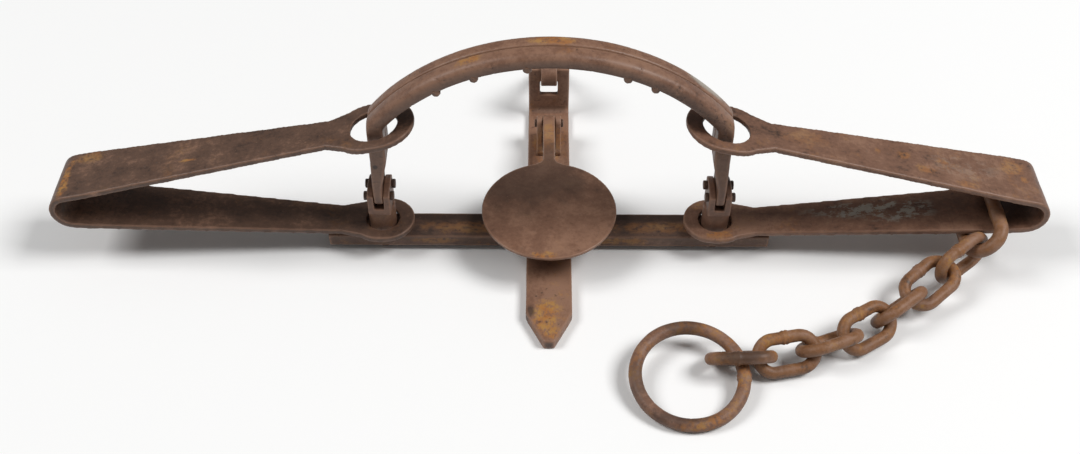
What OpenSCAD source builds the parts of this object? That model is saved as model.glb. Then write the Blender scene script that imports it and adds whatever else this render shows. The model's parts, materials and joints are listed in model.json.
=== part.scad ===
// Double long-spring leghold trap, sprung shut, with its chain and end ring.
// Frame: X along the base bar, Y from the front leg to the rear post, Z up from the ground.
// The origin lies on the ground under the crossing of the base bar and the cross bar.

/* [Base bar and cross bar] */
// Length of the base bar
base_len = 426; // [420:1:440]
// Width of the base bar
base_w = 26; // [24:0.5:32]
// Height of the base bar
base_h = 19.5; // [17:0.5:22]
// Width of the bevel along the base bar's front upper edge
base_bevel = 10; // [7:0.5:11]
// Drop of that bevel
base_drop = 6.5; // [5:0.5:8]
// Width of the cross bar
cross_w = 43; // [38:1:50]
// Thickness of the cross bar
cross_t = 6.5; // [5:0.5:8]
// Reach of the front leg from the base bar's centre line
leg_reach = 135; // [110:1:140]
// Thickness of the front leg
leg_t = 10.5; // [8:0.5:12]
// Length of the leg's pointed end
leg_point = 34; // [20:1:45]
// Width of the leg's blunt tip
leg_tip_w = 10; // [6:1:20]
// Reach of the rear post's front face
rear_reach = 189; // [188:1:200]
// Height of the rear post
rear_h = 62; // [60:0.5:66]
// Inner radius of the rear post's bend
rear_bend_r = 6; // [3:0.5:10]
// Height of the window sill in the rear post
sill_z = 27.7; // [24:0.1:32]
// Height of the bar left above the window
rung_h = 15.4; // [13:0.1:16.5]

/* [Jaw posts] */
// Distance of each post from the centre
post_x = 160; // [156:0.5:166]
// Radius of the post's round neck
neck_r = 13; // [11:0.5:14]
// Height of the neck above the base bar
neck_h = 25.7; // [25:0.1:28]
// Width of the fork
fork_w = 21.4; // [19:0.1:22]
// Depth of the fork
fork_d = 32; // [30:0.5:32.5]
// Height of the fork
fork_h = 27.3; // [26:0.1:30]
// Solid height under the fork's slot
fork_floor = 6.7; // [5:0.1:8]
// Radius of the post's tail in the base bar
tail_r = 6.5; // [5:0.5:7]
// Radius of the peened end under the base bar
peen_r = 7.5; // [7:0.5:9]
// Height of the jaw pins above the fork's underside
pin_rise = 18.3; // [17.5:0.1:19]
// Radius of the jaw pins
jaw_pin_r = 3.3; // [2.5:0.1:4]
// Radius of the pins' peened heads
jaw_pin_head_r = 4.5; // [4.2:0.1:5]
// Height of those heads
jaw_pin_head_h = 3.6; // [2:0.1:4]

/* [Jaws] */
// Depth of each jaw
jaw_d = 16.3; // [15:0.1:16.5]
// Thickness of the jaws in their own plane
jaw_t = 15; // [13:0.5:16]
// Rounding of the jaws' outer upper edges
jaw_round = 7; // [4:0.5:7.5]
// Rounding of the jaws' outer lower edges
jaw_under = 4; // [2:0.5:5]
// Outer radius of the arch
arch_r = 207; // [200:1:230]
// Height of the arch's crown
crown_z = 242; // [238:1:248]
// Outer half width of the arch at its legs
jaw_half = 163.6; // [160.6:0.1:165]
// Thickness of the tongues in the forks
tongue_w = 8.6; // [7.5:0.1:9]
// Where the tongues begin to widen, above the pins
tongue_len = 14.5; // [14:0.5:20]
// Where the legs reach full thickness, above the pins
taper_len = 48; // [35:1:60]
// Radius of the small studs on the jaws
stud_r = 3.4; // [2.5:0.1:4.5]
// How far the studs stand out
stud_h = 4; // [2.5:0.1:4.1]
// Distance of the studs from the jaws' outer faces
stud_in = 4.2; // [4:0.1:6]

/* [Springs] */
// Thickness of the spring steel
spring_t = 6; // [4.5:0.1:6.5]
// Width of the springs at the bend
spring_w = 60; // [50:1:64]
// Width of the springs at the neck by the eyes
spring_neck_w = 35; // [28:1:40]
// Length of the flare from the neck to the eyes
neck_flare = 38; // [30:1:42]
// Length of the springs' full width before the bend
wide_run = 15; // [10:0.5:20]
// Distance of the bend's centre from the middle
bend_x = 445; // [430:1:455]
// Height of the bend's centre
bend_z = 66; // [60:0.5:72]
// Outer radius of the bend
bend_r = 20; // [17:0.5:24]
// Length of the lower eye
foot_eye_l = 61; // [56:0.5:66]
// Width of the lower eye
foot_eye_w = 55; // [50:0.5:56]
// Radius of the lower eye's hole
foot_hole_r = 16; // [15:0.5:18]
// Distance from the post to the kink where the lower arm starts to rise
kink = 42; // [38:1:55]
// How far the upper eye's centre lies inside the post's
eye_shift = 1.5; // [0.5:0.1:2.5]
// Height of the upper eye's centre
eye_z = 147.4; // [140:0.5:152]
// Length of the upper eye's hole
eye_hole_l = 43; // [42:0.5:46]
// Width of the upper eye's hole
eye_hole_w = 39; // [38.5:0.5:41]
// Width of the steel left round that hole
eye_rim = 11.5; // [8:0.5:14]
// Extra steel at the upper eye's ends
eye_tip = 4; // [0:0.5:8]

/* [Pan and dog] */
// Diameter of the pan
pan_d = 129; // [110:1:135]
// Height of the pan's rim
pan_z = 45; // [44:0.1:48]
// Thickness of the pan
pan_t = 4; // [3:0.1:4.5]
// Depth of the dish in the pan
pan_dish = 0.6; // [0.3:0.1:1]
// Width of the pan's shank
shank_w = 12; // [9:0.5:14]
// Radius of the fillets where the shank meets the pan
flare_r = 7; // [4:0.5:10]
// Distance of the pan's pin from the centre
pan_pin_y = 140; // [136:0.5:142]
// Height of the pan's pin
pan_pin_z = 31; // [29:0.1:31.5]
// Radius of the pan's pin
pan_pin_r = 3; // [2.5:0.1:4]
// Thickness of the bracket's ears
ear_t = 6; // [4:0.5:7]
// Radius of the ears and of the shank's end round the pin
ear_r = 8; // [7:0.1:8]
// Length of the bracket's foot along the cross bar
bracket_len = 35; // [32:0.5:36]
// Thickness of the bracket's floor
bracket_t = 5; // [4:0.5:6]
// Radius of the bracket's rivets
bracket_rivet_r = 3; // [2:0.1:3.5]
// Width of the dog
dog_w = 17; // [12:0.5:18]
// Thickness of the dog
dog_t = 4; // [3:0.1:4]
// Length of the dog from its pivot
dog_len = 80; // [76:0.5:81]
// Slope of the dog as it hangs behind the post
dog_rest = 42; // [38:0.5:44]

/* [Chain] */
// Diameter of the chain's wire
chain_wire = 11.3; // [10.5:0.1:11.6]
// Inner length of a link
link_l = 42.2; // [40:0.1:46]
// Inner width of a link
link_w = 18.5; // [18.2:0.1:20]
// Diameter of the shackle's wire
shackle_wire = 13; // [12:0.1:13.5]
// Inner width of the shackle
shackle_w = 23; // [22.5:0.1:27]
// Play of the shackle across the spring
shackle_play = 18; // [16:0.5:22]
// Place of the shackle along the right spring
shackle_x = 408; // [402:1:412]
// Lean of the shackle
shackle_lean = 45; // [43:0.5:47]
// Where the first link hangs on the shackle's bow
hook_turn = 55; // [53:1:57]
// Outer diameter of the end ring
ring_d = 108; // [100:1:120]
// Diameter of the ring's wire
ring_wire = 12; // [11:0.1:12]
// Where the ring crosses the last link, round from X
ring_turn = 22; // [18:1:26]
// How far along the last link the ring crosses
ring_shift = 2; // [0:0.5:3]

/* [Clearances] */
// Between a turning piece and its pin
run_gap = 0.08; // [0.03:0.01:0.1]
// Between a fixed rivet or tail and its hole
fit_gap = 0.03; // [0.02:0.01:0.05]
// Between pieces that rest on each other and can move
seat_gap = 0.2; // [0.1:0.05:0.3]
// Between the jaws' faces
jaw_gap = 0.3; // [0.2:0.05:0.5]
// Beside the tongues in the slots
slot_gap = 0.3; // [0.2:0.05:0.5]
// Beside the dog in its window
window_gap = 0.85; // [0.5:0.05:1]
// Round the rung inside the dog's eye
rung_gap = 0.6; // [0.3:0.05:0.7]
// Beside the shank between the ears
shank_gap = 0.5; // [0.3:0.05:0.8]
// Between chain links
chain_gap = 0.7; // [0.6:0.05:0.9]
// Ease between the shackle's rear bow and the edge of the spring
shackle_ease = 0.5; // [0.4:0.05:0.8]
// Ease between the ring and the last link's lower side
ring_ease = 2.1; // [1.9:0.1:2.5]
// Height of the lay of the chain above its flattest place
lay_ease = 0.3; // [0.2:0.1:1]

/* [Hidden] */
$fn = 48;
rust = [0.39, 0.29, 0.25];
rust_pale = [0.46, 0.35, 0.30];
rust_dark = [0.27, 0.21, 0.18];
rust_orange = [0.47, 0.31, 0.19];
over = 1;

// Base heights
base_z = cross_t;
base_top = base_z + base_h;
fork_z = base_top + neck_h;
fork_top = fork_z + fork_h;
pin_z = fork_z + pin_rise;
pin_y = (jaw_d + jaw_gap) / 2;
slot_w = tongue_w + 2 * slot_gap;
tongue_r = jaw_d / 2;
neck_seat = base_top - base_drop + 1.5;
rivet_x = cross_w / 4;
rivet_y = base_bevel / 2;
rivet_r = 4;
rivet_head_r = 6.5;
rivet_head_h = 3;

// Rear post
rung_y = rear_reach + cross_t / 2;
rung_z = rear_h - rung_h / 2;
window_w = dog_w + 2 * window_gap;
window_top = rear_h - rung_h;
dog_eye_r = sqrt(rung_h * rung_h + cross_t * cross_t) / 2 + rung_gap;
dog_eye_out = dog_eye_r + dog_t;

// Arch
arch_z = crown_z - arch_r;
leg_in = jaw_half - jaw_t;
stud_seat = 5;
stud_y = jaw_gap / 2 + jaw_d - stud_in;
// Places of the studs along the arch, from the crown
stud_turns = [-31, -20, -6, 20, 28];

// Springs: the lower arm runs from the kink and the upper arm from its eye, each tangent to the bend
bend_mid = bend_r - spring_t / 2;
foot_z = base_top + seat_gap + spring_t / 2;
kink_x = post_x + kink;
foot_run = [bend_x - kink_x, bend_z - foot_z];
foot_slope = atan2(foot_run.y, foot_run.x) - asin(bend_mid / norm(foot_run));
foot_len = sqrt(foot_run * foot_run - bend_mid * bend_mid);
eye_x = post_x - eye_shift;
arm_run = [bend_x - eye_x, bend_z - eye_z];
arm_slope = atan2(arm_run.y, arm_run.x) + asin(bend_mid / norm(arm_run));
arm_len = sqrt(arm_run * arm_run - bend_mid * bend_mid);
eye_out_w = eye_hole_w + 2 * eye_rim;
eye_out_l = eye_hole_l + 2 * (eye_rim + eye_tip);
wide_x = bend_x - wide_run;

// Pan and bracket
pan_r = pan_d / 2;
rim_seat = 3.5;
ear_x = shank_w / 2 + shank_gap;
ear_out = ear_x + ear_t;
bracket_back = pan_pin_y + ear_r + 3;
bracket_front = bracket_back - bracket_len;
notch_y = rung_y - dog_len - 1;
notch_z = rung_z - dog_eye_out - 0.7;

// Chain
chain_r = chain_wire / 2;
link_side = link_w / 2 + chain_r;
link_run = (link_l - link_w) / 2;
shackle_r = shackle_wire / 2;
shackle_side = shackle_w / 2 + shackle_r;
ring_r = ring_wire / 2;
ring_mid = ring_d / 2 - ring_r;

// Compass heading of each link, from the shackle to the ring
link_heading = [-145, -142, -141, -148, -158, -168, -180];
// Roll of each link about its own length
link_roll = [-84, -12, 62, -42, 46, -44, 50];
lay_z = chain_r + link_side * sin(max([for (i = [2 : 5]) abs(link_roll[i])])) + lay_ease;

function half_width(x) = x < kink_x ? spring_neck_w / 2
    : x > wide_x ? spring_w / 2
    : spring_neck_w / 2 + (spring_w - spring_neck_w) / 2 * (x - kink_x) / (wide_x - kink_x);

// The shackle's rear bow lies against the arm's rear edge
shackle_l = 2 * half_width(shackle_x) + shackle_play;
shackle_down = [-sin(shackle_lean), 0, -cos(shackle_lean)];
lean_to_arm = shackle_lean + foot_slope;
arm_share = spring_t / 2 / cos(lean_to_arm);
// Room in the bow where the leaning wire comes nearest to the arm's edge
bow_room = min([for (s = [0 : 0.5 : 8]) sqrt(
    pow(shackle_side - sqrt(shackle_r * shackle_r - pow(s * cos(lean_to_arm), 2)), 2)
    - pow(arm_share + s * sin(lean_to_arm), 2)
)]);
shackle_mid = [
    shackle_x,
    half_width(shackle_x + shackle_r) + shackle_ease + (shackle_w - shackle_l) / 2 - bow_room,
    foot_z + (shackle_x - kink_x) * tan(foot_slope)
];
hook_mid = shackle_mid + [0, shackle_w / 2 - shackle_l / 2, 0];
hook = hook_mid + shackle_side * (cos(hook_turn) * [0, -1, 0] + sin(hook_turn) * shackle_down);

// The first two links come down from the hook to the lay of the chain, the last one dips to the ring
hook_reach = 2 * (link_l - chain_gap) + chain_r - shackle_r;
first_pitch = -asin((hook.z - lay_z) / hook_reach);
last_z = chain_r + link_side * sin(abs(link_roll[6])) + 2 * lay_ease;
last_pitch = asin((last_z - lay_z) / (link_l / 2));
link_pitch = [first_pitch, first_pitch, 0, 0, 0, 0, last_pitch];

function heading(i) = [
    cos(link_heading[i]) * cos(link_pitch[i]),
    sin(link_heading[i]) * cos(link_pitch[i]),
    sin(link_pitch[i])
];
function beside(i) = [-sin(link_heading[i]), cos(link_heading[i]), 0];
function above(i) = cross(heading(i), beside(i));
function across(i) = cos(link_roll[i]) * beside(i) + sin(link_roll[i]) * above(i);
function unit(v) = v / norm(v);
function facing(i) = cross(heading(i), across(i));
// Way from the bow's centre to the wire the next link hangs on
function bow_way(i) = unit(heading(i + 1) - (heading(i + 1) * facing(i)) * facing(i));
function bow(i) = link_mid(i) + link_run * heading(i) + link_side * bow_way(i);
function link_mid(i) = i == 0
    ? hook + (link_l / 2 - shackle_r - chain_gap) * heading(0)
    : bow(i - 1) + (link_l / 2 - chain_r - chain_gap) * heading(i);

// The ring lies on the last link's lower run and on the ground
ring_cross = link_mid(6) + ring_shift * heading(6) - (link_w / 2 - ring_r - ring_ease) * across(6);
ring_tilt = asin((ring_cross.z - ring_r - 0.1) / (ring_mid * (1 + sin(ring_turn))));
ring_centre = ring_cross
    - ring_mid * [cos(ring_turn), sin(ring_turn) * cos(ring_tilt), sin(ring_turn) * sin(ring_tilt)];

// Solid from a drawing in the Y and Z plane, w wide and centred on x
module across_x(x, w) {
    translate([x - w / 2, 0, 0]) rotate([90, 0, 90]) linear_extrude(w) children();
}

// Solid from a drawing in the X and Z plane, from y to y + d
module along_y(y, d) {
    translate([0, y + d, 0]) rotate([90, 0, 0]) linear_extrude(d) children();
}

module rod_x(x, w, r) {
    translate([x, 0, 0]) rotate([0, 90, 0]) cylinder(h = w, r = r, center = true);
}

module wedge(low, high) {
    mid = (low + high) / 2;
    reach = 3 * bend_r;
    polygon([
        [0, 0],
        reach * [cos(low), sin(low)],
        reach * [cos(mid), sin(mid)],
        reach * [cos(high), sin(high)]
    ]);
}

module bend_part(low, high) {
    translate([bend_x, bend_z]) intersection() {
        difference() {
            circle(bend_r);
            circle(bend_r - spring_t);
        }
        wedge(low, high);
    }
}

module oblong(length, width) {
    run = length - width;
    square([run, width], center = true);
    for (side = [-1, 1]) translate([side * run / 2, 0]) circle(d = width);
}

// Plan of a spring from its neck to its bend
module spring_blade() {
    end_x = bend_x + bend_r + over;
    polygon([
        [post_x, -spring_neck_w / 2], [kink_x, -spring_neck_w / 2],
        [wide_x, -spring_w / 2], [end_x, -spring_w / 2],
        [end_x, spring_w / 2], [wide_x, spring_w / 2],
        [kink_x, spring_neck_w / 2], [post_x, spring_neck_w / 2]
    ]);
}

// Straight flare from the neck out to the round end of an eye
module eye_flare(x, length, width) {
    round_x = x + (length - width) / 2;
    wing = (width / 2 - 1) * [cos(60), sin(60)];
    low = spring_neck_w / 2 - 0.5;
    polygon([
        [round_x + neck_flare, -low], [round_x + neck_flare, low],
        [round_x + wing.x, wing.y], [round_x + wing.x, -wing.y]
    ]);
}

module spring_foot() {
    difference() {
        intersection() {
            along_y(-spring_w, 2 * spring_w) {
                translate([post_x - foot_eye_l, foot_z - spring_t / 2])
                    square([foot_eye_l + kink, spring_t]);
                translate([kink_x, foot_z]) circle(d = spring_t);
                translate([kink_x, foot_z]) rotate(foot_slope) translate([0, -spring_t / 2])
                    square([foot_len, spring_t]);
                bend_part(foot_slope - 90, 0);
            }
            linear_extrude(crown_z) {
                translate([post_x, 0]) oblong(foot_eye_l, foot_eye_w);
                eye_flare(post_x, foot_eye_l, foot_eye_w);
                spring_blade();
            }
        }
        translate([post_x, 0, base_z]) cylinder(h = crown_z, r = foot_hole_r);
    }
}

module spring_arm() {
    difference() {
        intersection() {
            along_y(-spring_w, 2 * spring_w) {
                translate([eye_x, eye_z]) rotate(arm_slope) translate([-eye_out_l, -spring_t / 2])
                    square([eye_out_l + arm_len, spring_t]);
                bend_part(0, 90 + arm_slope);
            }
            linear_extrude(crown_z) {
                translate([eye_x, 0]) oblong(eye_out_l, eye_out_w);
                eye_flare(eye_x, eye_out_l, eye_out_w);
                spring_blade();
            }
        }
        translate([eye_x, 0, bend_z]) linear_extrude(crown_z) oblong(eye_hole_l, eye_hole_w);
    }
}

module post() {
    difference() {
        union() {
            cylinder(h = base_z, r = peen_r);
            cylinder(h = base_top + over, r = tail_r);
            translate([0, 0, neck_seat]) cylinder(h = fork_z + over - neck_seat, r = neck_r);
            across_x(0, fork_w) intersection() {
                translate([-fork_d / 2, fork_z]) square([fork_d, fork_h]);
                translate([0, fork_top - fork_d]) circle(fork_d);
            }
        }
        translate([-slot_w / 2, -fork_d, fork_z + fork_floor]) cube([slot_w, 2 * fork_d, fork_h]);
        for (side = [-1, 1]) translate([0, side * pin_y, pin_z])
            rod_x(0, 2 * fork_w, jaw_pin_r + fit_gap);
    }
}

module jaw_pin() {
    rod_x(0, fork_w + jaw_pin_head_h, jaw_pin_r);
    for (side = [-1, 1]) rod_x(side * (fork_w + jaw_pin_head_h) / 2, jaw_pin_head_h, jaw_pin_head_r);
}

// Arch filled down to its feet: a circle cut off by the outer or the inner edges of the legs
module arch_fill(radius, leg, tongue, foot) {
    intersection() {
        translate([0, arch_z]) circle(radius);
        polygon([
            [-tongue, foot], [tongue, foot], [tongue, pin_z + tongue_len], [leg, pin_z + taper_len],
            [leg, crown_z + over], [-leg, crown_z + over], [-leg, pin_z + taper_len],
            [-tongue, pin_z + tongue_len]
        ]);
    }
}

module stud_places() {
    for (turn = stud_turns) translate([0, 0, arch_z]) rotate([0, turn, 0])
        translate([0, 0, arch_r - jaw_t]) children();
}

// What a rounded edge takes off the arch's outer face, in three bevels; way is 1 outside, -1 inside
module edge_ring(radius, way, r) {
    face_y = jaw_gap / 2 + jaw_d;
    translate([0, 0, arch_z]) rotate([-90, 0, 0]) rotate_extrude() polygon([
        [radius + way * r * 0.04, face_y - r * 1.15], [radius - way * r * 0.13, face_y - r * 0.5],
        [radius - way * r * 0.5, face_y - r * 0.13], [radius - way * r * 1.15, face_y + r * 0.04],
        [radius + way * r, face_y + r]
    ]);
}

module jaw() {
    difference() {
        union() {
            along_y(jaw_gap / 2, jaw_d) difference() {
                arch_fill(arch_r, jaw_half, post_x + tongue_w / 2, pin_z);
                arch_fill(arch_r - jaw_t, leg_in, post_x - tongue_w / 2, pin_z - over);
            }
            for (side = [-1, 1]) translate([0, pin_y, pin_z]) rod_x(side * post_x, tongue_w, tongue_r);
        }
        for (side = [-1, 1]) translate([0, pin_y, pin_z])
            rod_x(side * post_x, 2 * fork_w, jaw_pin_r + run_gap);
        translate([0, stud_y, 0]) stud_places()
            translate([0, 0, -over]) cylinder(h = over + stud_seat, r = stud_r + fit_gap);
        edge_ring(arch_r, 1, jaw_round);
        intersection() {
            edge_ring(arch_r - jaw_t, -1, jaw_under);
            translate([-leg_in, 0, arch_z]) cube([2 * leg_in, 2 * jaw_d, arch_r]);
        }
    }
}

module jaw_studs() {
    translate([0, stud_y, 0]) stud_places() {
        cylinder(h = stud_seat, r = stud_r);
        translate([0, 0, -stud_h]) cylinder(h = stud_h, r1 = stud_r * 0.6, r2 = stud_r);
    }
}

// Closed oblong link with its length along X, lying in the X and Y plane
module chain_oval(length, width, r) {
    run = length - width;
    side = width / 2 + r;
    for (way = [-1, 1]) {
        translate([0, way * side, 0]) rod_x(0, run, r);
        translate([way * run / 2, 0, 0]) rotate([0, 0, -90 * way])
            rotate_extrude(angle = 180) translate([side, 0]) circle(r);
    }
}

module chain_link(i) {
    color(rust_orange) translate(link_mid(i)) rotate([0, -link_pitch[i], link_heading[i]])
        rotate([link_roll[i], 0, 0]) chain_oval(link_l, link_w, chain_r);
}

module base_bar() {
    half = base_w / 2;
    color(rust_dark) difference() {
        across_x(0, base_len) polygon([
            [-half, base_z], [half, base_z], [half, base_top],
            [base_bevel - half, base_top], [-half, base_top - base_drop]
        ]);
        for (side = [-1, 1]) {
            translate([side * post_x, 0, 0]) cylinder(h = crown_z, r = tail_r + fit_gap);
            translate([side * post_x, 0, neck_seat]) cylinder(h = crown_z, r = neck_r + fit_gap);
            translate([side * rivet_x, rivet_y, 0]) cylinder(h = crown_z, r = rivet_r + fit_gap);
            translate([side * rivet_x, rivet_y, base_top - rivet_head_h])
                cylinder(h = crown_z, r = rivet_head_r + fit_gap);
        }
    }
}

module cross_bar() {
    bend_out = rear_bend_r + cross_t;
    bend_y = rear_reach - rear_bend_r;
    color(rust) difference() {
        union() {
            intersection() {
                union() {
                    translate([-cross_w / 2, -leg_reach, 0]) cube([cross_w, leg_reach + bend_y, cross_t]);
                    translate([-cross_w / 2, -leg_reach, 0])
                        cube([cross_w, leg_reach - base_w / 2 - seat_gap, leg_t]);
                }
                linear_extrude(leg_t) polygon([
                    [-leg_tip_w / 2, -leg_reach], [leg_tip_w / 2, -leg_reach],
                    [cross_w / 2, leg_point - leg_reach], [cross_w / 2, rear_reach],
                    [-cross_w / 2, rear_reach], [-cross_w / 2, leg_point - leg_reach]
                ]);
            }
            across_x(0, cross_w) {
                translate([bend_y, bend_out]) intersection() {
                    difference() {
                        circle(bend_out);
                        circle(rear_bend_r);
                    }
                    translate([0, -bend_out]) square(bend_out);
                }
                translate([rear_reach, bend_out]) square([cross_t, rear_h - bend_out]);
            }
        }
        translate([-window_w / 2, rear_reach - over, sill_z])
            cube([window_w, cross_t + 2 * over, window_top - sill_z]);
        for (side = [-1, 1]) translate([side * rivet_x, rivet_y, -over])
            cylinder(h = crown_z, r = rivet_r + fit_gap);
        bracket_rivet_places() translate([0, 0, -over])
            cylinder(h = crown_z, r = bracket_rivet_r + fit_gap);
    }
}

module cross_rivets() {
    color(rust_dark) for (side = [-1, 1]) translate([side * rivet_x, rivet_y, 0]) {
        cylinder(h = base_top, r = rivet_r);
        translate([0, 0, base_top - rivet_head_h]) cylinder(h = rivet_head_h, r = rivet_head_r);
    }
}

module left_post() {
    color(rust) translate([-post_x, 0, 0]) post();
}

module right_post() {
    color(rust) translate([post_x, 0, 0]) post();
}

module left_front_jaw_pin() {
    color(rust_dark) translate([-post_x, -pin_y, pin_z]) jaw_pin();
}

module left_rear_jaw_pin() {
    color(rust_dark) translate([-post_x, pin_y, pin_z]) jaw_pin();
}

module right_front_jaw_pin() {
    color(rust_dark) translate([post_x, -pin_y, pin_z]) jaw_pin();
}

module right_rear_jaw_pin() {
    color(rust_dark) translate([post_x, pin_y, pin_z]) jaw_pin();
}

module bracket_rivet_places() {
    for (y = [bracket_front + 8, bracket_back - 8]) translate([0, y, 0]) children();
}

module pan_bracket() {
    color(rust_orange) difference() {
        union() {
            translate([-ear_out, bracket_front, cross_t]) cube([2 * ear_out, bracket_len, bracket_t]);
            for (side = [-1, 1]) across_x(side * (ear_x + ear_t / 2), ear_t) {
                translate([pan_pin_y, pan_pin_z]) circle(ear_r);
                polygon([
                    [bracket_front, cross_t], [bracket_back, cross_t],
                    [pan_pin_y + ear_r, pan_pin_z], [pan_pin_y, pan_pin_z + ear_r * 0.9],
                    [pan_pin_y - ear_r, pan_pin_z + 2], [bracket_front, cross_t + bracket_t]
                ]);
            }
        }
        translate([0, pan_pin_y, pan_pin_z]) rod_x(0, 4 * ear_out, pan_pin_r + fit_gap);
        bracket_rivet_places() cylinder(h = crown_z, r = bracket_rivet_r + fit_gap);
    }
}

module pan_bracket_rivets() {
    color(rust_dark) bracket_rivet_places() {
        cylinder(h = cross_t + bracket_t + over, r = bracket_rivet_r);
        translate([0, 0, cross_t + bracket_t]) cylinder(h = 2.5, r1 = ear_x - 1, r2 = ear_x - 3);
    }
}

module pan_pin() {
    color(rust_dark) translate([0, pan_pin_y, pan_pin_z]) {
        rod_x(0, 2 * ear_out, pan_pin_r);
        for (side = [-1, 1]) rod_x(side * (ear_out + 1.25), 2.5, pan_pin_r + 1.2);
    }
}

module front_jaw() {
    color(rust_pale) mirror([0, 1, 0]) jaw();
}

module front_jaw_studs() {
    color(rust_dark) mirror([0, 1, 0]) jaw_studs();
}

module rear_jaw() {
    color(rust_pale) jaw();
}

module rear_jaw_studs() {
    color(rust_dark) jaw_studs();
}

module left_spring_foot() {
    color(rust) mirror([1, 0, 0]) spring_foot();
}

module left_spring_arm() {
    color(rust_pale) mirror([1, 0, 0]) spring_arm();
}

module right_spring_foot() {
    color(rust) spring_foot();
}

module right_spring_arm() {
    color(rust_pale) spring_arm();
}

module pan() {
    under = pan_z - pan_t - pan_dish;
    color(rust_pale) difference() {
        union() {
            rotate_extrude() polygon([
                [0, under], [pan_r - 8, under + 0.4], [pan_r, pan_z - pan_t + 0.5], [pan_r, pan_z],
                [pan_r - 1.5, pan_z], [pan_r - 3.5, pan_z - pan_dish], [0, pan_z - pan_dish]
            ]);
            translate([0, pan_r, pan_z - pan_t]) linear_extrude(pan_t) difference() {
                translate([-shank_w / 2 - flare_r, -rim_seat])
                    square([shank_w + 2 * flare_r, flare_r + rim_seat]);
                for (side = [-1, 1]) translate([side * (shank_w / 2 + flare_r), flare_r]) circle(flare_r);
            }
            across_x(0, shank_w) {
                polygon([
                    [pan_r - 9, under + 0.4], [pan_pin_y, pan_pin_z - ear_r], [pan_pin_y, notch_z],
                    [notch_y, notch_z], [notch_y, pan_z], [pan_r - 3, pan_z], [pan_r - 9, under + 2]
                ]);
                translate([pan_pin_y, pan_pin_z]) circle(ear_r);
            }
        }
        translate([0, pan_pin_y, pan_pin_z]) rod_x(0, 2 * shank_w, pan_pin_r + run_gap);
    }
}

module dog() {
    color(rust) translate([0, rung_y, rung_z]) rotate([-dog_rest, 0, 0]) across_x(0, dog_w) difference() {
        union() {
            circle(dog_eye_out);
            translate([0, dog_eye_r]) square([dog_len, dog_t]);
        }
        circle(dog_eye_r);
    }
}

module chain_shackle() {
    color(rust_orange) translate(shackle_mid) rotate([0, shackle_lean - 90, 0]) rotate([0, 0, -90])
        chain_oval(shackle_l, shackle_w, shackle_r);
}

module chain_link_1() {
    chain_link(0);
}

module chain_link_2() {
    chain_link(1);
}

module chain_link_3() {
    chain_link(2);
}

module chain_link_4() {
    chain_link(3);
}

module chain_link_5() {
    chain_link(4);
}

module chain_link_6() {
    chain_link(5);
}

module chain_link_7() {
    chain_link(6);
}

module chain_ring() {
    color(rust_orange) translate(ring_centre) rotate([ring_tilt, 0, 0])
        rotate_extrude($fn = 96) translate([ring_mid, 0]) circle(ring_r);
}

base_bar();
cross_bar();
cross_rivets();
left_post();
right_post();
left_front_jaw_pin();
left_rear_jaw_pin();
right_front_jaw_pin();
right_rear_jaw_pin();
pan_bracket();
pan_bracket_rivets();
pan_pin();
front_jaw();
front_jaw_studs();
rear_jaw();
rear_jaw_studs();
left_spring_foot();
left_spring_arm();
right_spring_foot();
right_spring_arm();
pan();
dog();
chain_shackle();
chain_link_1();
chain_link_2();
chain_link_3();
chain_link_4();
chain_link_5();
chain_link_6();
chain_link_7();
chain_ring();
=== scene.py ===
import json
import math

import bmesh
import bpy
import numpy as np
from bpy.props import (
    FloatProperty, FloatVectorProperty, IntProperty, PointerProperty,
)
from mathutils import Matrix, Vector

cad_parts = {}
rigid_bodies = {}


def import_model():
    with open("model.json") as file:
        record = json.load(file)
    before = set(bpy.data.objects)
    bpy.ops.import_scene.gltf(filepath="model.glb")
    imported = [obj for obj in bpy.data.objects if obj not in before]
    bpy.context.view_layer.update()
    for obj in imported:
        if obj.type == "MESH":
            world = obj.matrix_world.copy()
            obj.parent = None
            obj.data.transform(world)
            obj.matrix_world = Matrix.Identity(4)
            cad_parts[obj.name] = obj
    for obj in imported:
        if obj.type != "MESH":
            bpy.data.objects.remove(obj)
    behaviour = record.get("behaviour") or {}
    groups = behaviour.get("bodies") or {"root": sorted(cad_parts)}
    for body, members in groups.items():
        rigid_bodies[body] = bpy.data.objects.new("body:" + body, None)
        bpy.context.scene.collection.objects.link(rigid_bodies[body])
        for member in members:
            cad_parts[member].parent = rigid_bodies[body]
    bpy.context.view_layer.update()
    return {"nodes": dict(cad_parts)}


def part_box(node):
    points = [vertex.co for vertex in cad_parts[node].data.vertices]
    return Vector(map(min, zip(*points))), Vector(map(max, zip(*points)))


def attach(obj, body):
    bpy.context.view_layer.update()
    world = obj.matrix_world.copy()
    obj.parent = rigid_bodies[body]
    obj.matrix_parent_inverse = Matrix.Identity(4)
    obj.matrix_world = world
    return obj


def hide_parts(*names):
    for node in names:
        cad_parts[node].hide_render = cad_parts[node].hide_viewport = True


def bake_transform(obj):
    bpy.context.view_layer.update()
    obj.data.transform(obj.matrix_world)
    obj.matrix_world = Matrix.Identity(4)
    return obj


bl_info = {
    "name": "Leghold Trap",
    "version": (1, 0, 0),
    "blender": (4, 5, 0),
    "location": "View3D > Sidebar > Trap",
    "description": "Dresses a double long-spring leghold trap in forged, rusted iron",
    "category": "Add Mesh",
}

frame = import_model()
NODES = frame["nodes"]
LINKS = [f"chain_link_{i}" for i in range(1, 8)]
# Height of the centre of the jaws' arch
ARCH_HEIGHT = 0.035
# Size of the faces on pins, jaws and pan, as shares of the fine grain
PIN_GRAIN = 0.7
JAW_GRAIN = 1.4
PAN_GRAIN = 1.25
# Corners round the chain's wire, a pin's shaft and a pin's head
ROD_SIDES = 32
SHAFT_SIDES = 24
HEAD_SIDES = 14
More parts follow.
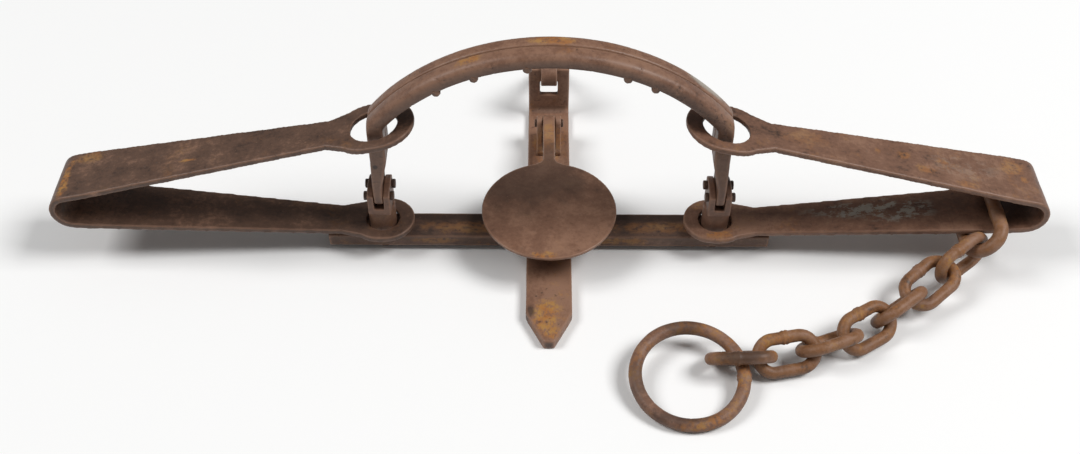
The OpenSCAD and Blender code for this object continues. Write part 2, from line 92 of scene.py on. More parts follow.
# How far the forged skin's pattern is moved on from piece to piece
SKIN_SHIFT = 0.37
# Steps of blur that tell edges and hollows from flat faces
EDGE_BLUR = 8
# Depth of the groove in a weld as a share of its swell
GROOVE_SHARE = 0.7
# Points beside the welds that show on top of the chain
WELDS = {
    "chain_link_2": (0.347, -0.065, 0.032),
    "chain_link_4": (0.281, -0.118, 0.033),
    "chain_link_6": (0.209, -0.143, 0.034),
    "chain_ring": (0.168, -0.178, 0.022),
}
# Cloudy patterns of the rust: cells to the metre, detail, roughness, and whether they follow the streaks
RUST_PATTERNS = {
    "big": (8.0, 3.0, 0.55, False),
    "mottle": (60.0, 7.0, 0.64, True),
    "fine": (300.0, 5.0, 0.66, True),
    "grain": (1400.0, 2.0, 0.50, False),
    "cloud": (36.0, 8.0, 0.72, False),
    "fleck": (250.0, 4.0, 0.66, False),
    "speck": (560.0, 1.0, 0.50, False),
}
# Weights of the patterns in the settled rust
SETTLED = {"big": 0.26, "mottle": 0.38, "fine": 0.26, "grain": 0.10}
# Turn of the brush strokes on the springs, and the scale of their pattern along each axis
BRUSH_TURN = math.radians(35.0)
BRUSH_STRETCH = (1.0, 0.09, 1.0)
# Scale of the pattern of flaked spots along each axis
FLAKE_STRETCH = (0.6, 1.0, 1.0)
# How ragged the rims of the rust's patches are
ORANGE_RAGGED = 3.2
FLAKE_RAGGED = 1.2
GROUND_RAGGED = 0.6
PATCH_RAGGED = 1.6
# Shine of the iron, and the strength and height of its finest unevenness
SPECULAR = 0.38
BUMP_STRENGTH = 0.5
BUMP_HEIGHT = 0.0006
# The point that the camera looks at, and its sensor's width in millimetres
CAMERA_AIM = (-0.0087, 0.0, 0.020)
SENSOR_WIDTH = 36.0
# Where the lamps hang; both point to the frame's origin
RIGHT_LIGHT_PLACE = (4.1, -0.45, 5.1)
LEFT_LIGHT_PLACE = (-4.3, -0.4, 4.9)
# Half the width of the floor, and its roughness
FLOOR_HALF = 6.0
FLOOR_ROUGHNESS = 0.8


# Settings

class TrapForgeSettings(bpy.types.PropertyGroup):
    """How worn and uneven the forged surfaces are."""

    plate_grain: FloatProperty(
        name="Plate grain", description="Size of the faces on bars and springs",
        default=0.0011, min=0.0005, max=0.004, unit="LENGTH",
    )
    fine_grain: FloatProperty(
        name="Fine grain", description="Size of the faces on small forgings",
        default=0.0007, min=0.0003, max=0.002, unit="LENGTH",
    )
    edge_rounds: IntProperty(
        name="Edge rounds", description="Smoothing passes that round the bars' edges",
        default=5, min=0, max=40,
    )
    spring_rounds: IntProperty(
        name="Spring rounds", description="Smoothing passes that round the springs' edges",
        default=9, min=0, max=40,
    )
    jaw_rounds: IntProperty(
        name="Jaw rounds", description="Smoothing passes that round the jaws",
        default=22, min=0, max=120,
    )
    wave_depth: FloatProperty(
        name="Wave depth", description="Height of the hammered unevenness",
        default=0.0006, min=0.0, max=0.003, unit="LENGTH",
    )
    pit_depth: FloatProperty(
        name="Pit depth", description="Depth of the rust pits",
        default=0.0004, min=0.0, max=0.002, unit="LENGTH",
    )


class TrapRustSettings(bpy.types.PropertyGroup):
    """Colours of the iron and its rust."""

    brown: FloatVectorProperty(
        name="Brown", description="Settled brown rust", subtype="COLOR",
        size=4, default=(0.172, 0.087, 0.055, 1.0),
    )
    chain_brown: FloatVectorProperty(
        name="Chain brown", description="Brighter rust of the chain", subtype="COLOR",
        size=4, default=(0.215, 0.098, 0.042, 1.0),
    )
    shaded_brown: FloatVectorProperty(
        name="Shaded brown", description="Darker rust of the left spring and the base bar",
        subtype="COLOR", size=4, default=(0.104, 0.057, 0.038, 1.0),
    )
    # The pale brown also paints light on the pan's front right
    pale: FloatVectorProperty(
        name="Pale brown", description="Rubbed and dusty rust", subtype="COLOR",
        size=4, default=(0.270, 0.148, 0.095, 1.0),
    )
    # The dark brown also paints shade: in hollows, on faces that turn sideways or down, and the jaws'
    # shadow on the base bar and the pan
    dark: FloatVectorProperty(
        name="Dark brown", description="Old scale in hollows", subtype="COLOR",
        size=4, default=(0.046, 0.027, 0.020, 1.0),
    )
    orange: FloatVectorProperty(
        name="Orange", description="Fresh rust", subtype="COLOR",
        size=4, default=(0.350, 0.140, 0.036, 1.0),
    )
    ochre: FloatVectorProperty(
        name="Ochre", description="Yellow rust", subtype="COLOR",
        size=4, default=(0.380, 0.200, 0.055, 1.0),
    )
    grey: FloatVectorProperty(
        name="Grey", description="Bare and ground steel", subtype="COLOR",
        size=4, default=(0.370, 0.336, 0.285, 1.0),
    )


class TrapPinSettings(bpy.types.PropertyGroup):
    """The peened pins and the studs."""

    shaft_share: FloatProperty(
        name="Shaft share", description="Radius of a pin's shaft as a share of its head's",
        default=0.73, min=0.3, max=1.0,
    )
    jaw_head: FloatProperty(
        name="Jaw pin head", description="Height of the jaw pins' heads",
        default=0.0036, min=0.001, max=0.006, unit="LENGTH",
    )
    pan_head: FloatProperty(
        name="Pan pin head", description="Height of the pan pin's heads",
        default=0.0025, min=0.001, max=0.006, unit="LENGTH",
    )
    stud_length: FloatProperty(
        name="Stud length", description="From a stud's root in the jaw to its tip",
        default=0.0058, min=0.004, max=0.014, unit="LENGTH",
    )
    stud_radius: FloatProperty(
        name="Stud radius", description="Radius of a stud at its root",
        default=0.0040, min=0.001, max=0.006, unit="LENGTH",
    )
    stud_tip: FloatProperty(
        name="Stud tip", description="Radius of a stud's tip as a share of its root's",
        default=0.7, min=0.2, max=1.0,
    )
    stud_cap: FloatProperty(
        name="Stud cap", description="Height of a stud's tip",
        default=0.003, min=0.001, max=0.006, unit="LENGTH",
    )
    stud_rounds: IntProperty(
        name="Stud rounds", description="Smoothing passes that round the studs",
        default=4, min=0, max=40,
    )


class TrapChainSettings(bpy.types.PropertyGroup):
    """The weld on each chain link."""

    weld_swell: FloatProperty(
        name="Weld swell", description="How far the weld stands out",
        default=0.0009, min=0.0, max=0.003, unit="LENGTH",
    )
    weld_width: FloatProperty(
        name="Weld width", description="Length of the weld along the wire",
        default=0.0040, min=0.001, max=0.02, unit="LENGTH",
    )


class TrapStageSettings(bpy.types.PropertyGroup):
    """Camera, light and floor."""

    camera_height: FloatProperty(
        name="Camera elevation", description="Angle of the view above the floor",
        default=math.radians(46.0), subtype="ANGLE",
    )
    camera_side: FloatProperty(
        name="Camera side", description="Turn of the view round the trap",
        default=0.0, subtype="ANGLE",
    )
    camera_roll: FloatProperty(
        name="Camera roll", description="Turn of the picture",
        default=math.radians(0.3), subtype="ANGLE",
    )
    camera_distance: FloatProperty(
        name="Camera distance", description="From the lens to the middle of the trap",
        default=1.230, min=0.3, max=5.0, unit="LENGTH",
    )
    camera_lens: FloatProperty(
        name="Lens", description="Focal length on a 36 mm sensor, in millimetres",
        default=42.2, min=10.0, max=200.0,
    )
    key_power: FloatProperty(
        name="Right light", description="Power of the soft light above on the right",
        default=312.0, min=0.0, max=2000.0, unit="POWER",
    )
    side_power: FloatProperty(
        name="Left light", description="Power of the soft light above on the left",
        default=197.0, min=0.0, max=2000.0, unit="POWER",
    )
    lamp_size: FloatProperty(
        name="Lamp size", description="Width of the soft lights",
        default=2.6, min=0.1, max=8.0, unit="LENGTH",
    )
    sky_strength: FloatProperty(
        name="Room light", description="Strength of the even light all round",
        default=0.165, min=0.0, max=5.0,
    )
    floor_colour: FloatVectorProperty(
        name="Floor", description="Colour of the floor", subtype="COLOR",
        size=4, default=(0.94, 0.94, 0.935, 1.0),
    )


# Node helpers

def add_node(tree, kind, **values):
    """A node with its properties set by name."""
    node = tree.nodes.new(kind)
    for key, value in values.items():
        setattr(node, key, value)
    return node


def feed(tree, node, name, value):
    """Links or sets one input, given by name or number."""
    socket = node.inputs[name]
    if isinstance(value, bpy.types.NodeSocket):
        tree.links.new(value, socket)
    else:
        socket.default_value = value


def calc(tree, operation, first, second=0.0, clamp=False):
    """One step of arithmetic."""
    node = add_node(tree, "ShaderNodeMath", operation=operation, use_clamp=clamp)
    feed(tree, node, 0, first)
    feed(tree, node, 1, second)
    return node.outputs[0]


def scaled(tree, pattern, share):
    """A pattern times a share."""
    return calc(tree, "MULTIPLY", pattern, share)


def vector_calc(tree, operation, first, second=None, scale=None, output=0):
    """One step of vector arithmetic."""
    node = add_node(tree, "ShaderNodeVectorMath", operation=operation)
    feed(tree, node, 0, first)
    if second is not None:
        feed(tree, node, 1, second)
    if scale is not None:
        feed(tree, node, "Scale", scale)
    return node.outputs[output]


def noise(tree, place, scale, detail, roughness):
    """Value of a cloudy pattern, scale cells to the metre."""
    node = add_node(tree, "ShaderNodeTexNoise", noise_dimensions="3D")
    feed(tree, node, "Vector", place)
    feed(tree, node, "Scale", scale)
    feed(tree, node, "Detail", detail)
    feed(tree, node, "Roughness", roughness)
    return node.outputs[0]


def between(tree, value, low, high):
    """0 below low, 1 above high, with a soft step from one to the other."""
    node = add_node(tree, "ShaderNodeMapRange", interpolation_type="SMOOTHSTEP")
    feed(tree, node, "Value", value)
    feed(tree, node, "From Min", low)
    feed(tree, node, "From Max", high)
    return node.outputs[0]


def mix_colour(tree, share, first, second):
    """Colour between two colours."""
    node = add_node(tree, "ShaderNodeMix", data_type="RGBA")
    feed(tree, node, 0, share)
    feed(tree, node, 6, first)
    feed(tree, node, 7, second)
    return node.outputs[2]


# Geometry node trees

def new_shape_tree(name, sizes):
    """A tree with named inputs; sizes lists name, socket type and default. Its iron comes last."""
    tree = bpy.data.node_groups.new(name, "GeometryNodeTree")
    tree.interface.new_socket("Geometry", in_out="OUTPUT", socket_type="NodeSocketGeometry")
    tree.interface.new_socket("Geometry", in_out="INPUT", socket_type="NodeSocketGeometry")
    for label, kind, default in sizes:
        socket = tree.interface.new_socket(label, in_out="INPUT", socket_type=kind)
        socket.default_value = default
    tree.interface.new_socket("Iron", in_out="INPUT", socket_type="NodeSocketMaterial")
    return tree, tree.nodes.new("NodeGroupInput")


def end_tree(tree, given, shape):
    """Realizes the shape's instances and gives it its iron."""
    realize = tree.nodes.new("GeometryNodeRealizeInstances")
    feed(tree, realize, 0, shape)
    paint = tree.nodes.new("GeometryNodeSetMaterial")
    feed(tree, paint, "Geometry", realize.outputs[0])
    feed(tree, paint, "Material", given.outputs["Iron"])
    out = tree.nodes.new("NodeGroupOutput")
    tree.links.new(paint.outputs[0], out.inputs[0])
    return tree


def store_mark(tree, shape, name, value, kind="FLOAT"):
    """The shape with a value kept on each of its points."""
    store = add_node(tree, "GeometryNodeStoreNamedAttribute", data_type=kind, domain="POINT")
    feed(tree, store, "Geometry", shape)
    feed(tree, store, "Name", name)
    feed(tree, store, "Value", value)
    return store.outputs[0]


def tube_along(tree, path, radius, sides, capped=False):
    """A round bar along a path."""
    ring = tree.nodes.new("GeometryNodeCurvePrimitiveCircle")
    feed(tree, ring, "Resolution", sides)
    feed(tree, ring, "Radius", radius)
    tube = tree.nodes.new("GeometryNodeCurveToMesh")
    feed(tree, tube, "Curve", path)
    feed(tree, tube, "Profile Curve", ring.outputs[0])
    feed(tree, tube, "Fill Caps", capped)
    return tube.outputs[0]


def forged_skin_tree():
    """Hammer waves and rust pits on any shape, with marks for its edges, upper sides and places."""
    tree, given = new_shape_tree("Forged Skin", [
        ("Wave Depth", "NodeSocketFloat", 0.0005),
        ("Pit Depth", "NodeSocketFloat", 0.0003),
        ("Shift", "NodeSocketVector", (0.0, 0.0, 0.0)),
    ])
    place = tree.nodes.new("GeometryNodeInputPosition").outputs[0]
    normal = tree.nodes.new("GeometryNodeInputNormal").outputs[0]
    moved = vector_calc(tree, "ADD", place, given.outputs["Shift"])
    wave = noise(tree, moved, scale=34.0, detail=2.0, roughness=0.5)
    wave = scaled(tree, calc(tree, "SUBTRACT", wave, 0.5), given.outputs["Wave Depth"])
    pits = noise(tree, moved, scale=240.0, detail=2.0, roughness=0.5)
    pits = between(tree, pits, low=0.60, high=0.74)
    crowd = noise(tree, moved, scale=18.0, detail=2.0, roughness=0.5)
    crowd = between(tree, crowd, low=0.42, high=0.60)
    pits = scaled(tree, scaled(tree, pits, crowd), given.outputs["Pit Depth"])
    push = vector_calc(tree, "SCALE", normal, scale=calc(tree, "SUBTRACT", wave, pits))
    bend = tree.nodes.new("GeometryNodeSetPosition")
    feed(tree, bend, "Geometry", given.outputs["Geometry"])
    feed(tree, bend, "Offset", push)
    blur = add_node(tree, "GeometryNodeBlurAttribute", data_type="FLOAT_VECTOR")
    feed(tree, blur, "Value", place)
    feed(tree, blur, "Iterations", EDGE_BLUR)
    rise = vector_calc(tree, "SUBTRACT", place, blur.outputs[0])
    rise = vector_calc(tree, "DOT_PRODUCT", rise, normal, output="Value")
    upward = vector_calc(tree, "DOT_PRODUCT", normal, (0.0, 0.0, 1.0), output="Value")
    # Kept in millimetres: above 0 on worn edges, below 0 in hollows, where it paints shade
    shape = store_mark(tree, bend.outputs[0], "edge_wear_and_hollow_shade", scaled(tree, rise, 1000.0))
    shape = store_mark(tree, shape, "upward", upward)
    shape = store_mark(tree, shape, "rest_place", place, kind="FLOAT_VECTOR")
    shade = tree.nodes.new("GeometryNodeSetShadeSmooth")
    feed(tree, shade, 0, shape)
    return end_tree(tree, given, shade.outputs[0])


def bent_rod_tree():
    """A round rod bent along a closed path, with one weld that stands out."""
    tree, given = new_shape_tree("Bent Rod", [
        ("Wire Radius", "NodeSocketFloat", 0.0057),
        ("Sides", "NodeSocketInt", ROD_SIDES),
        ("Weld Place", "NodeSocketFloat", 0.5),
        ("Weld Share", "NodeSocketFloat", 0.02),
        ("Weld Swell", "NodeSocketFloat", 0.0008),
    ])
    path = tree.nodes.new("GeometryNodeMeshToCurve")
    feed(tree, path, "Mesh", given.outputs["Geometry"])
    along = tree.nodes.new("GeometryNodeSplineParameter").outputs["Factor"]
    marked = store_mark(tree, path.outputs[0], "along", along)
    tube = tube_along(tree, marked, given.outputs["Wire Radius"], given.outputs["Sides"])
    read = add_node(tree, "GeometryNodeInputNamedAttribute", data_type="FLOAT")
    feed(tree, read, "Name", "along")
    away = calc(tree, "SUBTRACT", read.outputs[0], given.outputs["Weld Place"])
    away = calc(tree, "DIVIDE", calc(tree, "ABSOLUTE", away), given.outputs["Weld Share"])
    bump = calc(tree, "SUBTRACT", 1.0, between(tree, away, low=0.35, high=1.0))
    groove = calc(tree, "SUBTRACT", 1.0, between(tree, away, low=0.0, high=0.22))
    height = calc(tree, "SUBTRACT", bump, scaled(tree, groove, GROOVE_SHARE))
    height = scaled(tree, height, given.outputs["Weld Swell"])
    normal = tree.nodes.new("GeometryNodeInputNormal").outputs[0]
    swell = tree.nodes.new("GeometryNodeSetPosition")
    feed(tree, swell, "Geometry", tube)
    feed(tree, swell, "Offset", vector_calc(tree, "SCALE", normal, scale=height))
    return end_tree(tree, given, swell.outputs[0])


def peened_pin_tree():
    """Pins along the given edges, with a peened head on each end."""
    tree, given = new_shape_tree("Peened Pin", [
        ("Shaft Radius", "NodeSocketFloat", 0.003),
        ("Head Radius", "NodeSocketFloat", 0.005),
        ("Head Height", "NodeSocketFloat", 0.004),
    ])
    path = tree.nodes.new("GeometryNodeMeshToCurve")
    feed(tree, path, "Mesh", given.outputs["Geometry"])
    shaft = tube_along(tree, path.outputs[0], given.outputs["Shaft Radius"], SHAFT_SIDES, capped=True)
    head = tree.nodes.new("GeometryNodeMeshCylinder")
    feed(tree, head, "Vertices", HEAD_SIDES)
    feed(tree, head, "Radius", given.outputs["Head Radius"])
    feed(tree, head, "Depth", given.outputs["Head Height"])
    turn = add_node(tree, "FunctionNodeAlignRotationToVector", axis="Z")
    feed(tree, turn, "Vector", tree.nodes.new("GeometryNodeInputTangent").outputs[0])
    heads = tree.nodes.new("GeometryNodeInstanceOnPoints")
    feed(tree, heads, "Points", path.outputs[0])
    feed(tree, heads, "Instance", head.outputs[0])
    feed(tree, heads, "Rotation", turn.outputs[0])
    join = tree.nodes.new("GeometryNodeJoinGeometry")
    tree.links.new(shaft, join.inputs[0])
    tree.links.new(heads.outputs[0], join.inputs[0])
    return end_tree(tree, given, join.outputs[0])


TREES = {}


def shape_tree(maker):
    """The tree that maker builds, made once."""
    name = maker.__name__
    if name not in TREES:
        TREES[name] = maker()
    return TREES[name]


def add_tree(piece, maker, **sizes):
    """Puts a tree on a piece as a modifier, with its inputs set by their identifiers."""
    modifier = piece.modifiers.new(maker.__name__, "NODES")
    modifier.node_group = shape_tree(maker)
    sockets = {
        item.name: item.identifier
        for item in modifier.node_group.interface.items_tree
        if item.item_type == "SOCKET" and item.in_out == "INPUT"
    }
    for label, value in sizes.items():
        modifier[sockets[label.replace("_", " ").title()]] = value
    return modifier


# Rust materials

def own_mark(tree, name, output="Fac"):
    """A mark that the forged skin left on the piece's points."""
    mark = add_node(tree, "ShaderNodeAttribute", attribute_type="GEOMETRY", attribute_name=name)
    return mark.outputs[output]


def blend_sum(tree, parts):
    """Sum of patterns, each with its weight."""
    total = 0.0
    for pattern, weight in parts:
        total = calc(tree, "ADD", scaled(tree, pattern, weight), total)
    return total


def rust_marks(tree, streak, edge_from):
    """The patterns of the rust and the marks of the forged skin, by name."""
    place = own_mark(tree, "rest_place", "Vector")
    lined = vector_calc(tree, "MULTIPLY", place, streak)
    marks = {"place": place, "upward": own_mark(tree, "upward")}
    for name, (scale, detail, roughness, streaked) in RUST_PATTERNS.items():
        marks[name] = noise(tree, lined if streaked else place, scale, detail, roughness)
    edge_wear_and_hollow_shade = own_mark(tree, "edge_wear_and_hollow_shade")
    marks["edge"] = between(tree, edge_wear_and_hollow_shade, low=edge_from, high=edge_from + 0.45)
    marks["hollow"] = between(tree, scaled(tree, edge_wear_and_hollow_shade, -1.0), low=0.03, high=0.30)
    return marks


def patch_mask(tree, marks, centre, reach, ragged):
    """A ragged patch round a point, 1 inside it."""
    near = vector_calc(tree, "SUBTRACT", marks["place"], centre)
    near = vector_calc(tree, "DIVIDE", near, reach)
    far = vector_calc(tree, "LENGTH", near, output="Value")
    rim = scaled(tree, calc(tree, "SUBTRACT", marks["cloud"], 0.5), ragged)
    level = calc(tree, "ADD", calc(tree, "SUBTRACT", 1.0, far), rim)
    return between(tree, level, low=0.0, high=0.6)


def all_patches(tree, marks, patches, ragged=PATCH_RAGGED):
    """The strongest of several ragged patches, each a centre, a reach and a strength."""
    level = 0.0
    for centre, reach, strength in patches:
        mask = patch_mask(tree, marks, centre, reach, ragged)
        level = calc(tree, "MAXIMUM", scaled(tree, mask, strength), level)
    return level


def brush_strokes(tree, marks):
    """Slanting strokes, in places only."""
    turn = add_node(tree, "ShaderNodeMapping", vector_type="POINT")
    feed(tree, turn, "Vector", marks["place"])
    feed(tree, turn, "Rotation", (0.0, 0.0, BRUSH_TURN))
    feed(tree, turn, "Scale", BRUSH_STRETCH)
    strokes = noise(tree, turn.outputs[0], scale=520.0, detail=3.0, roughness=0.6)
    strokes = calc(tree, "SUBTRACT", strokes, 0.5)
    return scaled(tree, strokes, between(tree, marks["big"], low=0.45, high=0.62))


def settled_rust(tree, marks, rust, base, tone, contrast, brushed):
    """Colour of the old rust, from dark to pale."""
    patterns = [(marks[name], weight) for name, weight in SETTLED.items()]
    if brushed:
        patterns.append((brush_strokes(tree, marks), brushed))
    shade = calc(tree, "SUBTRACT", blend_sum(tree, patterns), 0.5)
    shade = calc(tree, "ADD", scaled(tree, shade, contrast), 0.5 + tone)
    brown = between(tree, shade, low=0.36, high=0.50)
    colour = mix_colour(tree, brown, tuple(rust.dark), tuple(base or rust.brown))
    pale = scaled(tree, between(tree, shade, low=0.49, high=0.63), 0.8)
    return mix_colour(tree, pale, colour, tuple(rust.pale))


def fresh_rust(tree, marks, share, cloud_from, patches):
    """Where orange rust lies, in clouds of flecks and in the given patches."""
    clouds = between(tree, marks["cloud"], low=cloud_from, high=cloud_from + 0.17)
    flecks = between(tree, marks["fleck"], low=0.38, high=0.60)
    clouds = scaled(tree, scaled(tree, clouds, share), flecks)
    broken = between(tree, marks["fine"], low=0.34, high=0.56)
    spots = scaled(tree, all_patches(tree, marks, patches, ORANGE_RAGGED), broken)
    return calc(tree, "MAXIMUM", clouds, spots)


def bare_steel(tree, marks, grey_patches, ground_patches):
    """Where scale has flaked off, and where the steel is ground."""
    flake = vector_calc(tree, "MULTIPLY", marks["place"], FLAKE_STRETCH)
    flake = noise(tree, flake, scale=95.0, detail=9.0, roughness=0.78)
    flake = between(tree, flake, low=0.49, high=0.54)
    flaked = scaled(tree, all_patches(tree, marks, grey_patches, FLAKE_RAGGED), flake)
    return calc(tree, "MAXIMUM", flaked, all_patches(tree, marks, ground_patches, GROUND_RAGGED))


def dark_pits(tree, marks, patches):
    """Pits all over, more of them in the given patches."""
    crowd = scaled(tree, all_patches(tree, marks, patches), 0.13)
    return between(tree, calc(tree, "ADD", marks["fleck"], crowd), low=0.63, high=0.74)


def rust_roughness(tree, marks, fresh, bare, gloss):
    """Roughness of the iron: more where the rust is fresh, less on steel and edges."""
    rough = calc(tree, "ADD", scaled(tree, marks["mottle"], 0.30), 0.36 - gloss)
    rough = calc(tree, "ADD", rough, scaled(tree, fresh, 0.30))
    rough = calc(tree, "SUBTRACT", rough, scaled(tree, bare, 0.08))
    return calc(tree, "SUBTRACT", rough, scaled(tree, marks["edge"], 0.08), clamp=True)


def rust_bump(tree, marks, pits, bare):
    """Slope of the finest unevenness."""
    bump = tree.nodes.new("ShaderNodeBump")
    feed(tree, bump, "Strength", BUMP_STRENGTH)
    feed(tree, bump, "Distance", BUMP_HEIGHT)
    feed(tree, bump, "Height", blend_sum(tree, [
        (marks["grain"], 0.30), (marks["fine"], 0.55), (marks["mottle"], 0.5), (pits, -0.8), (bare, -0.35),
    ]))
    return bump.outputs[0]


def rusted_iron(name, rust, base=None, streak=(1.0, 1.0, 1.0), tone=0.0, contrast=1.0, gloss=0.0,
                orange_share=0.25, orange_from=0.53, edge_from=0.10, under=0.4, brushed=0.0,
                pitted=0.6, pit_patches=(), orange_patches=(), grey_patches=(), ground_patches=(),
                dark_patches=(), pale_patches=()):
    """Brown rusted iron: mottled, streaked, orange in places and rubbed on edges, with painted shade in
    hollows and on faces that turn sideways or down.

    Each patch is a centre, its reach along x, y and z, and a strength from 0 to 1.
    """
    iron = bpy.data.materials.new(name)
    iron.use_nodes = True
    tree = iron.node_tree
    shader = tree.nodes["Principled BSDF"]
    dark = tuple(rust.dark)
    pale = tuple(rust.pale)
    marks = rust_marks(tree, streak, edge_from)
    fresh = fresh_rust(tree, marks, orange_share, orange_from, orange_patches)
    bare = bare_steel(tree, marks, grey_patches, ground_patches)
    pits = dark_pits(tree, marks, pit_patches)
    yellow = between(tree, marks["mottle"], low=0.42, high=0.62)
    bright = mix_colour(tree, yellow, tuple(rust.orange), tuple(rust.ochre))
    # Dark patches: old scale, and the painted shadow of the jaws on the base bar and the pan
    scale = all_patches(tree, marks, dark_patches)
    # Pale patches: dusty flecks, and painted light on the pan's front right
    dust_and_painted_light = between(tree, marks["fleck"], low=0.35, high=0.6)
    dust_and_painted_light = scaled(tree, all_patches(tree, marks, pale_patches), dust_and_painted_light)
    # Painted shade: faces that turn sideways or down get darker, by the share under
    below = between(tree, scaled(tree, marks["upward"], -1.0), low=-0.6, high=0.4)
    rubbed = calc(tree, "ADD", scaled(tree, marks["mottle"], 0.8), 0.2)
    specks = between(tree, marks["speck"], low=0.70, high=0.78)
    # Each layer's share and colour, from the lowest layer to the topmost
    layers = [
        (fresh, bright),
        (bare, tuple(rust.grey)),
        (scale, dark),
        (dust_and_painted_light, pale),
        # Painted shade on faces that turn sideways or down
        (scaled(tree, below, under), dark),
        (scaled(tree, marks["edge"], rubbed), pale),
        # Painted shade in hollows
        (scaled(tree, marks["hollow"], 0.7), dark),
        (scaled(tree, pits, pitted), dark),
        (scaled(tree, specks, 0.5), pale),
    ]
    colour = settled_rust(tree, marks, rust, base, tone, contrast, brushed)
    for share, layer in layers:
        colour = mix_colour(tree, share, colour, layer)
    feed(tree, shader, "Base Color", colour)
    feed(tree, shader, "Roughness", rust_roughness(tree, marks, fresh, bare, gloss))
    feed(tree, shader, "Metallic", 0.0)
    feed(tree, shader, "Specular IOR Level", SPECULAR)
    feed(tree, shader, "Normal", rust_bump(tree, marks, pits, bare))
    return iron


# Piece helpers

def joined(name, meshes):
    """One mesh with the merged surfaces of these meshes."""
    sheet = bmesh.new()
    for mesh in meshes:
        sheet.from_mesh(mesh)
    bmesh.ops.remove_doubles(sheet, verts=sheet.verts, dist=1e-6)
    mesh = bpy.data.meshes.new(name)
    sheet.to_mesh(mesh)
    sheet.free()
    return mesh


def joined_copy(name, nodes):
    """One mesh with the merged surfaces of these nodes."""
    return joined(name, [NODES[node].data for node in nodes])


def new_piece(name, mesh):
    """A piece in the scene."""
    piece = bpy.data.objects.new(name, mesh)
    bpy.context.scene.collection.objects.link(piece)
    return piece


def set_solid(piece):
    """Turns the piece's modifiers into a plain mesh."""
    ready = piece.evaluated_get(bpy.context.evaluated_depsgraph_get())
    mesh = bpy.data.meshes.new_from_object(ready)
    piece.modifiers.clear()
    piece.data = mesh
    mesh.name = piece.name
    return piece


def round_off(piece, grain, rounds):
    """Rebuilds the piece with even faces and rounds its edges."""
    remesh = piece.modifiers.new("Remesh", "REMESH")
    remesh.mode = "VOXEL"
    remesh.voxel_size = grain
    smooth = piece.modifiers.new("Smooth", "SMOOTH")
    smooth.factor = 0.5
    smooth.iterations = rounds
    return piece


def roughen(piece, iron, waves=1.0, pits=1.0):
    """Gives the piece its forged skin and makes it a plain mesh."""
    settings = bpy.context.scene.trap_forge
    add_tree(
        piece, forged_skin_tree, wave_depth=settings.wave_depth * waves,
        pit_depth=settings.pit_depth * pits, iron=iron,
        shift=(len(bpy.data.objects) * SKIN_SHIFT, 0.0, 0.0),
    )
    return set_solid(piece)


def put(piece, body, nodes):
    """Makes the piece ride on a body in place of its CAD nodes."""
    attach(piece, body)
    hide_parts(*nodes)
    return piece


def solid_boxes(node):
    """Lowest and highest corner of each separate solid of a node."""
    sheet = bmesh.new()
    sheet.from_mesh(NODES[node].data)
    bmesh.ops.remove_doubles(sheet, verts=sheet.verts, dist=1e-6)
    left = set(sheet.verts)
    boxes = []
    while left:
        wave = [left.pop()]
        found = list(wave)
        while wave:
            near = [e.other_vert(v) for v in wave for e in v.link_edges]
            wave = list({v for v in near if v in left})
            left.difference_update(wave)
            found += wave
        points = np.array([v.co for v in found])
        boxes.append((Vector(points.min(0)), Vector(points.max(0))))
    sheet.free()
    return sorted(boxes, key=lambda box: tuple(box[0]))


def straight_lines(name, lines):
    """A mesh of loose edges, one for each line."""
    mesh = bpy.data.meshes.new(name)
    points = [point for line in lines for point in line]
    mesh.from_pydata(points, [(2 * i, 2 * i + 1) for i in range(len(lines))], [])
    return mesh


def loop_frame(node):
    """Centre, axes and full sizes of a bent rod, longest axis first."""
    points = np.array([v.co for v in NODES[node].data.vertices])
    points = np.unique(points.round(6), axis=0)
    spread = points - points.mean(0)
    axes = np.linalg.svd(spread, full_matrices=False)[2]
    reach = spread @ axes.T
    low, high = reach.min(0), reach.max(0)
    centre = points.mean(0) + ((low + high) / 2) @ axes
    return Vector(centre), [Vector(a) for a in axes], high - low


def closed_path(name, points):
    """A closed line of edges."""
    mesh = bpy.data.meshes.new(name)
    count = len(points)
    mesh.from_pydata(points, [(i, (i + 1) % count) for i in range(count)], [])
    return mesh


def oval_path(node, steps=36):
    """The points along the middle of an oval link, and its wire's radius."""
    centre, (along, across, _), size = loop_frame(node)
    radius = size[2] / 2
    bow = size[1] / 2 - radius
    run = size[0] / 2 - radius - bow
    points = []
    for i in range(steps // 2):
        points.append((run * (1 - 4 * i / steps), bow))
    for i in range(steps):
        turn = math.pi * (0.5 + i / steps)
        points.append((-run + bow * math.cos(turn), bow * math.sin(turn)))
    for i in range(steps // 2):
        points.append((run * (4 * i / steps - 1), -bow))
    for i in range(steps):
        turn = math.pi * (1.5 + i / steps)
        points.append((run + bow * math.cos(turn), bow * math.sin(turn)))
    return [centre + along * x + across * y for x, y in points], radius


def round_path(node, steps=160):
    """The points along the middle of a ring, and its wire's radius."""
    centre, (along, across, _), size = loop_frame(node)
    radius = size[2] / 2
    bow = size[0] / 2 - radius
    turns = [2 * math.pi * i / steps for i in range(steps)]
    return [centre + along * bow * math.cos(t) + across * bow * math.sin(t) for t in turns], radius


def path_place(points, spot):
    """Length of a closed path, and the share of it that leads to the point nearest to spot."""
    steps = [(points[i] - points[i - 1]).length for i in range(1, len(points))]
    length = sum(steps) + (points[0] - points[-1]).length
    nearest = min(range(len(points)), key=lambda i: (points[i] - Vector(spot)).length)
    return length, sum(steps[:nearest]) / length


# Operators

